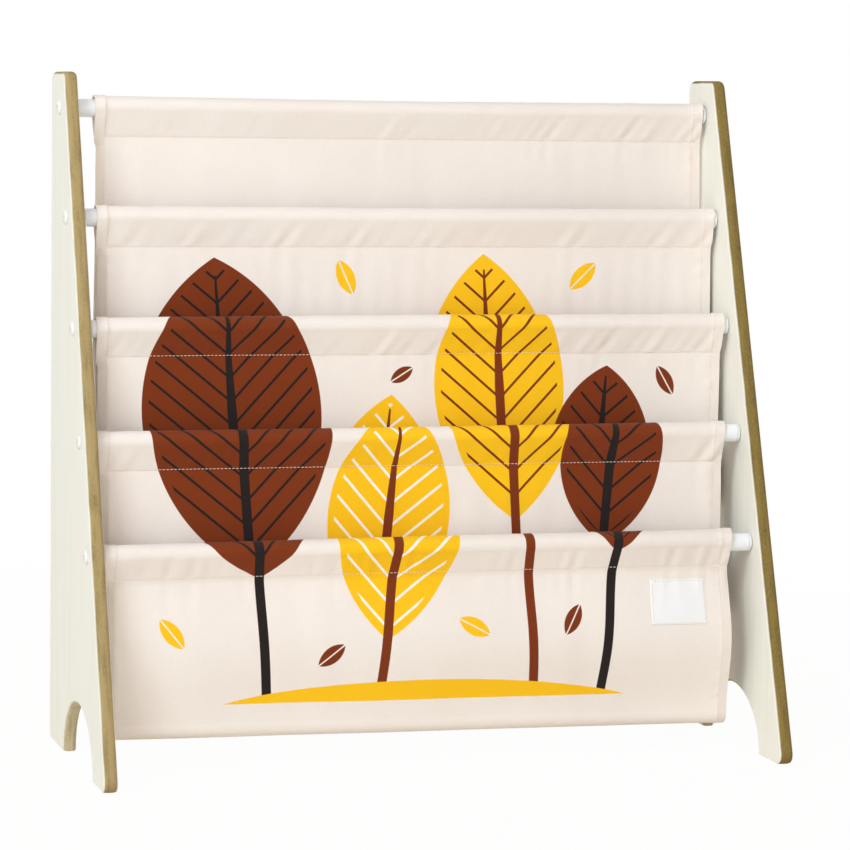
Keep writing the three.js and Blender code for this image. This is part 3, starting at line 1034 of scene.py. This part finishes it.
def tunnel_surface(index):
    """The cloth's middle over a rod, row by row from the front seam up, over and down to the back seam:
    a straight stretch, the arc about the rod and a straight stretch again. The puckers and the slack lift
    it, and the thick hems and the stiff cloth hold the arc a little off the rod. Also the outward
    vectors, the run of cloth from the nearer seam and the height of each row on the flat strip."""
    rod_y, rod_z = rod_middles[index][1:]
    seam_drop = seam_drops[index]
    arc_y, arc_z = loop_radius * math.cos(tunnel_hang), loop_radius * math.sin(tunnel_hang)
    straight = math.hypot(arc_y - half_seam, seam_drop - arc_z)
    length = 2 * straight + loop_radius * (math.pi + 2 * tunnel_hang)
    run = np.linspace(0, length, tunnel_rows)
    from_seam = np.minimum(run, length - run)
    share = np.clip(from_seam / straight, 0, 1)
    angle = (from_seam - straight) / loop_radius - tunnel_hang
    on_arc = from_seam > straight
    outwards = np.where(on_arc, loop_radius * np.cos(angle), half_seam + (arc_y - half_seam) * share)
    height = np.where(on_arc, loop_radius * np.sin(angle), -seam_drop + (seam_drop - arc_z) * share)
    is_front = run < length / 2
    away = from_seam[:, None]
    columns = across[None, :]
    x = cover_x(index, columns) + side_pull(columns, away) + end_shift(index, columns, outwards, height)
    points = np.empty((tunnel_rows, len(across), 3))
    points[:, :, 0] = x
    points[:, :, 1] = (rod_y + np.where(is_front, -outwards, outwards))[:, None]
    points[:, :, 2] = (rod_z + height)[:, None]
    out = -surface_normals(points)
    lift = puckers(
        x, away, pucker_seeds[index], tunnel_pucker_heights[index], tunnel_pucker_reach,
        tunnel_pucker_slants[index])
    slack = tunnel_slack * soft_waves(x, away, slack_seed + index, slack_length)
    lift = lift + slack * np.clip(away / slack_reach, 0, 1)
    tight = np.clip((away - straight) / loop_radius, 0, 1)
    least_lift = -pinch_share * (outwards - half_seam)[:, None]
    lift = np.maximum(lift, least_lift) * (1 - tight) + np.abs(lift) * tight
    stand_off = np.interp(across, (-0.5, 0, 0.5), loop_lifts[index])[None, :]
    lift = lift + stand_off * tight
    return points + lift[:, :, None] * out, out, away, rod_z - seam_drop + run


# The columns of the cloth that lie under the hems' stitches.
hem_column = int(np.searchsorted(across, 0.5 - hem_stitch_share * hem_width / cover_width))
hem_columns_sewn = (hem_column, len(across) - 1 - hem_column)
stitch_rise = canvas_thickness / 2
for index, number in enumerate(rod_numbers):
    middle, out, away, print_height = tunnel_surface(index)
    heights = np.stack((print_height, print_height), axis=1)
    all_printed = np.ones(tunnel_rows - 1, bool)
    tunnel = add_cloth(
        f"tunnel_{number}_canvas", middle, out, away, heights, all_printed, hem_outside=1.0)
    row = int(round(seam_stitch_rise / (print_height[1] - print_height[0])))
    stitch_rows = [
        stitched_row(middle[line], out[line], stitch_rise)
        for line in (row, tunnel_rows - 1 - row)
    ] + [
        stitched_row(middle[:, column], out[:, column], stitch_rise + hem_rise)
        for column in hem_columns_sewn
    ]
    stitches = add_stitches(f"tunnel_{number}_stitches", stitch_rows)
    hand_over(tunnel, f"tunnel_{number}")

# The slings. Each is the canvas between two seams, hung as a U. Its walls belly a little away from their
# neighbours and meet in a squarish bend at the bottom, where the books stand. The front wall of the
# lowest is the face.
floor_clearance = 0.025
sling_drop = rod_middles[-1][2] - floor_clearance
bend_height = 0.014
bend_squareness = 3.0
inner_belly = 0.003
face_belly = 0.008
face_belly_right = 0.008
bottom_tilt = 0.005
ripple_height = 0.0010
ripple_count = 3.5
drift_height = 0.0006
drift_length = 0.3
drift_stretch = 1.6
drift_reach = 0.05
drift_seed = 71
fold_height = 0.0007
fold_length = 0.05
fold_stretch = 7.0
fold_reach = 0.08
fold_seed = 91
wall_pucker_heights = (0.0002, 0.0002, 0.0002, 0.0002, 0.0004)
wall_pucker_reach = 0.007
flush_reach = 0.0015
back_wall_rows = 90
front_wall_rows = 50
bend_rows = 32
hem_turn_left = 48.0
hem_turn_right = 12.0
hem_turn_reach = 0.005
hem_pucker_height = 0.0005
hem_pucker_length = 0.015
hem_pucker_reach = 0.004
hem_pucker_seed = 131
print_below_rod = 0.03
sling_count = rod_count - 1
face = sling_count - 1


def hanging_drift(rod, x, below):
    """The slow swelling of both layers below a rod, which grows from nothing at the seam, the long soft
    folds below it and the puckers beside it. Both layers share it, so they don't meet."""
    grown = 1 - np.exp(-below / drift_reach)
    swell = soft_waves(x, below, drift_seed + rod, drift_length, stretch=drift_stretch)
    swell = drift_height * grown * swell
    folds = soft_waves(x, below, fold_seed + rod, fold_length, count=5, stretch=fold_stretch)
    folds = fold_height * folds * grown * np.exp(-below / fold_reach)
    drawn_in = puckers(
        x, below, pucker_seeds[rod], wall_pucker_heights[rod], wall_pucker_reach, slant=0.0)
    return swell + folds - drawn_in


def hem_turn(columns, below):
    """How far a side hem lies back, and how far that draws it in: the distance from its inner edge times
    the sine of its turn, and times one less the cosine. The turn grows from nothing at a seam."""
    degrees = np.where(columns > 0, hem_turn_right, hem_turn_left)
    turn = np.radians(degrees) * (1 - np.exp(-((below / hem_turn_reach) ** 2)))
    into = np.clip(hem_width - edge_distance(columns), 0, None)
    return into * np.sin(turn), -np.sign(columns) * into * (1 - np.cos(turn))


def hem_puckers(columns, z, seed):
    """The short folds that the hem's stitches pull into the cloth, in a narrow band at its inner edge."""
    near = np.exp(-((edge_distance(columns) - hem_width) / hem_pucker_reach) ** 2)
    return hem_pucker_height * near * soft_waves(z, 0 * z, seed, hem_pucker_length, count=5)


def wall(rod, columns, depth, bend_z, out, belly, phase):
    """A wall below a rod's seam, from depth 0 at the seam to 1 at the bend. Its Y is the seam's, plus the
    belly times a squared sine, a ripple across, the drift and the turned hem. Out is 1 for the layer on
    the rod's back side and -1 for the one on its front side. Gives how far the cloth is drawn in, its Y,
    its Z and the fall below the seam."""
    rod_y, rod_z = rod_middles[rod][1:]
    seam_z = rod_z - seam_drops[rod]
    z = seam_z + (bend_z - seam_z) * depth
    below = seam_z - z
    x = cover_x(rod, columns)
    ripple = ripple_height * np.sin(depth * np.pi / 2) ** 2
    ripple = ripple * np.sin(2 * np.pi * ripple_count * columns + phase)
    back, inwards = hem_turn(columns, below)
    y = rod_y + out * half_seam + belly * np.sin(depth * np.pi) ** 2 + ripple
    y = y + hanging_drift(rod, x, below) + hem_puckers(columns, z, hem_pucker_seed + rod) + back
    return side_pull(columns, below) + inwards, y, z, below


def bend_start(index, columns):
    """The height at which a sling's walls end and its bend starts. It falls a little to the right."""
    return rod_middles[index + 1][2] - sling_drop + bend_height - bottom_tilt * columns


def flush_step(below):
    """How far the face lies in front of its layer's place in the seam. At the seam it is the distance
    between both layers, so that the face is flush with the tunnel, and it fades below exponentially."""
    return 2 * half_seam * np.exp(-below / flush_reach)


def front_wall(index, columns, depth):
    """The front wall of a sling, which hangs from the next rod. That of the lowest one, the face, bellies
    outwards, and more so to the right."""
    swell = -(face_belly + face_belly_right * columns) if index == face else inner_belly
    return wall(index + 1, columns, depth, bend_start(index, columns), 1, swell, 2 * index)


def sling_surface(index):
    """The cloth's middle in a sling, row by row: down the back wall, round the bend and up the front
    wall. The bend is a flattened half ellipse between the walls' ends: both its cosine and its sine are
    raised to two over the squareness. Also the fall below the nearer seam."""
    columns = across[None, :]
    bend_z = bend_start(index, columns)
    down = np.linspace(0, 1, back_wall_rows)[:, None]
    up = np.linspace(1, 0, front_wall_rows)[:, None]
    back = wall(index, columns, down, bend_z, -1, -inner_belly, index + 1)
    front = front_wall(index, columns, up)
    turn = np.linspace(0, np.pi, bend_rows + 2)[1:-1, None]
    power = 2 / bend_squareness
    cosine = np.sign(np.cos(turn)) * np.abs(np.cos(turn)) ** power
    back_y, front_y = back[1][-1:], front[1][:1]
    full = np.ones((bend_rows, len(across)))
    bend = (
        back[0][-1:] * full,
        (back_y + front_y) / 2 + (back_y - front_y) / 2 * cosine,
        bend_z - bend_height * np.sin(turn) ** power,
        back[3][-1:] * full,
    )
    shift, y, z, away = (np.concatenate(parts) for parts in zip(back, bend, front))
    if index == face:
        on_front = (np.arange(len(y)) > back_wall_rows)[:, None]
        y = y - flush_step(away) * on_front
    along = np.linspace(0, 1, len(y))[:, None]
    x = cover_x(index, columns) * (1 - along) + cover_x(index + 1, columns) * along + shift
    return np.stack((x, y, z), axis=-1), away


def strip_heights(index, points, turning_row):
    """The height of each row on the flat strip. Above the turning row it is the back seam's height less
    the run of cloth, and past it the front seam's height less the run that is left. Each row has two
    values, for the face after it and the face before it, so that the change falls between two faces."""
    run = run_along(points[:, len(across) // 2, 1:])
    from_back = rod_middles[index][2] - seam_drops[index] - run
    from_front = rod_middles[index + 1][2] - seam_drops[index + 1] - (run[-1] - run)
    row = np.arange(len(run))
    return np.stack((
        np.where(row < turning_row, from_back, from_front),
        np.where(row <= turning_row, from_back, from_front)), axis=1)


turning_row = back_wall_rows + bend_rows // 2
for index in range(sling_count):
    number = index + 1
    middle, away = sling_surface(index)
    inside = surface_normals(middle)
    heights = strip_heights(index, middle, turning_row)
    sling_row = np.arange(len(middle) - 1)
    shown_down_to = rod_middles[index + 1][2] - print_below_rod
    inside_printed = (sling_row < back_wall_rows) & (heights[:-1, 0] > shown_down_to)
    outside_printed = (sling_row >= back_wall_rows + bend_rows) & (index == face)
    sling = add_cloth(
        f"sling_{number}_canvas", middle, inside, away, heights, inside_printed, outside_printed)
    stitch_rows = []
    for column in hem_columns_sewn:
        for side, rise in ((1, stitch_rise), (-1, stitch_rise + hem_rise)):
            stitch_rows.append(stitched_row(middle[:, column], side * inside[:, column], rise))
    stitches = add_stitches(f"sling_{number}_stitches", stitch_rows)
    hand_over(sling, f"sling_{number}")

# The label. A bare white woven piece, its cut ends folded under, is sewn flat on the front wall of the
# lowest sling near the right hem, with one row of stitches all round.
label_low, label_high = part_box("label")
label_thickness = 0.0005
label_border = 0.0014
label_sharp_angle = math.radians(70)
label_columns = 60
label_rows = 50
label_puff = 0.00045
puff_start = 0.003
puff_reach = 0.008
puff_wave_share = 0.4
puff_wave_length = 0.03
puff_seed = 5
label_gap = 0.0002
seam_line = 2
label_colour = srgb(247, 247, 249)
label_shade_colour = srgb(236, 236, 238)
fine_rib_pitch = 0.0005
broad_rib_pitch = 0.0009
fine_rib_share = 0.6
rib_shade_share = 0.3
cloud_shade_share = 0.2
label_rib_depth = 0.00005
label_cloud_scale = 160.0


def label_finish():
    """Woven satin: fine ribs both ways, with a faint sheen."""
    finish = Finish("woven_label")
    x, y, z = finish.parts(finish.place())
    fine_ribs = (z * (2 * math.pi / fine_rib_pitch)).sine()
    broad_ribs = (x * (2 * math.pi / broad_rib_pitch)).sine()
    ribs = fine_ribs * fine_rib_share + broad_ribs * (1 - fine_rib_share)
    cloud = finish.noise(finish.place(), label_cloud_scale, detail=3.0)
    shade = ribs.between(0.5, 1.0) * rib_shade_share + cloud * cloud_shade_share
    colour = finish.blend(shade, label_colour, label_shade_colour)
    relief = finish.bump(ribs, label_rib_depth, strength=0.5)
    return finish.surface(
        base_color=colour, roughness=cloud.between(0.5, 0.7), normal=relief, sheen_weight=0.1)


def face_y(x, z):
    """The outer surface of the lowest sling's front wall at a place across and a height."""
    columns = (x - left_ends[-1]) / (right_ends[-1] - left_ends[-1]) - 0.5
    seam_z = rod_middles[-1][2] - seam_drops[-1]
    depth = (seam_z - z) / (seam_z - bend_start(face, columns))
    _, y, _, below = front_wall(face, columns, depth)
    return y - flush_step(below) - canvas_thickness / 2


def label_sides():
    """The label's front and back, whose grid follows the wall. The front rises by the thickness, in a
    quarter circle over the border, and swells between the stitches and the middle."""
    share_u = np.linspace(0, 1, label_columns)[None, :]
    share_v = np.linspace(0, 1, label_rows)[:, None]
    width, height = label_high.x - label_low.x, label_high.z - label_low.z
    x = label_low.x + width * share_u + 0 * share_v
    z = label_high.z - height * share_v + 0 * share_u
    from_edge = np.minimum(
        width * np.minimum(share_u, 1 - share_u), height * np.minimum(share_v, 1 - share_v))
    border = np.clip(from_edge / label_border, 0, 1)
    rise = label_thickness * np.sqrt(border * (2 - border))
    puff = label_puff * np.clip((from_edge - puff_start) / puff_reach, 0, 1)
    puff = puff * (1 + puff_wave_share * soft_waves(x, z, puff_seed, puff_wave_length))
    y = face_y(x, z) - label_gap
    return np.stack((x, y - rise - puff, z), axis=-1), np.stack((x, y, z), axis=-1)


woven_label = label_finish()
label_front, label_back = label_sides()
label = add_piece(
    "label_cloth", np.stack((label_front, label_back)), shell_faces(label_rows, label_columns),
    [woven_label], sharp_angle=label_sharp_angle)
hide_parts("label")
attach(label, "root")
towards_front = np.broadcast_to((0.0, -1.0, 0.0), label_front.shape)
between_seams = slice(seam_line, -seam_line)
stitch_rows = [
    stitched_row(label_front[line, between_seams], towards_front[0, between_seams], 0)
    for line in (seam_line, -1 - seam_line)
] + [
    stitched_row(label_front[between_seams, line], towards_front[between_seams, 0], 0)
    for line in (seam_line, -1 - seam_line)
]
label_stitches = add_stitches("label_stitches", stitch_rows)

# The studio. A plain floor that looks white, one soft lamp high on the left, a wide weak one near the
# camera, one that fills in the back and the right, and a camera with a long lens at the top rod's height.
floor_width = 14.0
floor_colour = srgb(230, 224, 212)
near_glow_share = 0.965
full_glow_radius = 1.1
glow_start_share = 0.4
white = (1.0, 1.0, 1.0, 1.0)
camera_place = (-0.8218, -2.8922, 0.5792)
camera_yaw = 0.2782
camera_pitch = 0.0958
camera_roll = 0.0135
camera_lens = 145.63
sensor_width = 36.0

# Each lamp's place, the width of its disk, its power in watts and its colour.
lamps = {
    "key_lamp": ((-1.9, -1.7, 1.9), 1.3, 42.0, (0.80, 0.915, 1.0)),
    "front_lamp": ((-0.9, -3.0, 0.9), 2.2, 23.0, (0.97, 0.965, 1.0)),
    "back_lamp": ((2.3, 2.3, 1.3), 1.8, 36.0, (1.0, 0.975, 0.95)),
}
room_light = 0.6
room_fall_share = 0.3
room_colour = (1.0, 0.925, 0.86, 1.0)


def seen_share(finish):
    """1 where the camera sees a surface, straight or in a gloss, and 0 where it only lights others."""
    seen_straight = finish.add("LightPath", {}, output="Is Camera Ray")
    seen_in_gloss = finish.add("LightPath", {}, output="Is Glossy Ray")
    return seen_straight.most(seen_in_gloss)


def floor_finish():
    """A pale floor that keeps a soft shadow. To the camera it glows white, more so far from the rack."""
    finish = Finish("studio_floor")
    x, y, _ = finish.parts(finish.place())
    away = ((x * x + y * y).root() / full_glow_radius - glow_start_share).clamped()
    glow = seen_share(finish) * (near_glow_share + (1 - near_glow_share) * away)
    paint = finish.add("BsdfDiffuse", {"Color": floor_colour})
    light = finish.add("Emission", {"Color": white, "Strength": 1.0})
    mixed = finish.add("MixShader", {0: glow, 1: paint, 2: light})
    finish.add("OutputMaterial", {"Surface": mixed})
    return finish


floor_half = floor_width / 2
floor_corners = [(x * floor_half, y * floor_half, 0) for x, y in ((-1, -1), (1, -1), (1, 1), (-1, 1))]
floor = add_piece("studio_floor", floor_corners, [(0, 1, 2, 3)], [floor_finish()])
floor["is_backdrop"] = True

rack_middle = np.array((0.0, 0.0, panel_height / 2))
for lamp_name, (place, size, power, colour) in lamps.items():
    lamp = bpy.data.lights.new(lamp_name, "AREA")
    lamp.shape = "DISK"
    lamp.size = size
    lamp.energy = power
    lamp.color = colour
    lamp_object = bpy.data.objects.new(lamp_name, lamp)
    lamp_object.location = place
    lamp_object.visible_camera = False
    aim = rack_middle - np.array(place)
    yaw = math.atan2(aim[0], aim[1])
    lamp_object.rotation_euler = (math.atan2(math.hypot(aim[0], aim[1]), -aim[2]), 0.0, -yaw)
    bpy.context.scene.collection.objects.link(lamp_object)

room = Finish("studio_room", bpy.data.worlds)
bpy.context.scene.world = room.material
is_seen = seen_share(room)
towards_right, _, _ = room.parts(room.add("TexCoord", {}, output="Generated"))
dimmed = room_light * (1 - towards_right.clamped() * room_fall_share)
strength = dimmed + is_seen * (1 - dimmed)
colour = room.blend(is_seen, room_colour, white)
background = room.add("Background", {"Color": colour, "Strength": strength})
room.add("OutputWorld", {"Surface": background})

camera = bpy.data.cameras.new("camera")
camera.lens = camera_lens
camera.sensor_width = sensor_width
camera_object = bpy.data.objects.new("camera", camera)
bpy.context.scene.collection.objects.link(camera_object)
forward = np.array((
    math.sin(camera_yaw) * math.cos(camera_pitch),
    math.cos(camera_yaw) * math.cos(camera_pitch),
    -math.sin(camera_pitch)))
level_right = np.array((math.cos(camera_yaw), -math.sin(camera_yaw), 0.0))
level_up = np.cross(level_right, forward)
right = math.cos(camera_roll) * level_right + math.sin(camera_roll) * level_up
up = -math.sin(camera_roll) * level_right + math.cos(camera_roll) * level_up
matrix = np.eye(4)
matrix[:3, :] = np.stack((right, up, -forward, camera_place), axis=1)
camera_object.matrix_world = Matrix(matrix)
bpy.context.scene.camera = camera_object
bpy.context.scene.view_settings.view_transform = "Standard"

low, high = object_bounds()
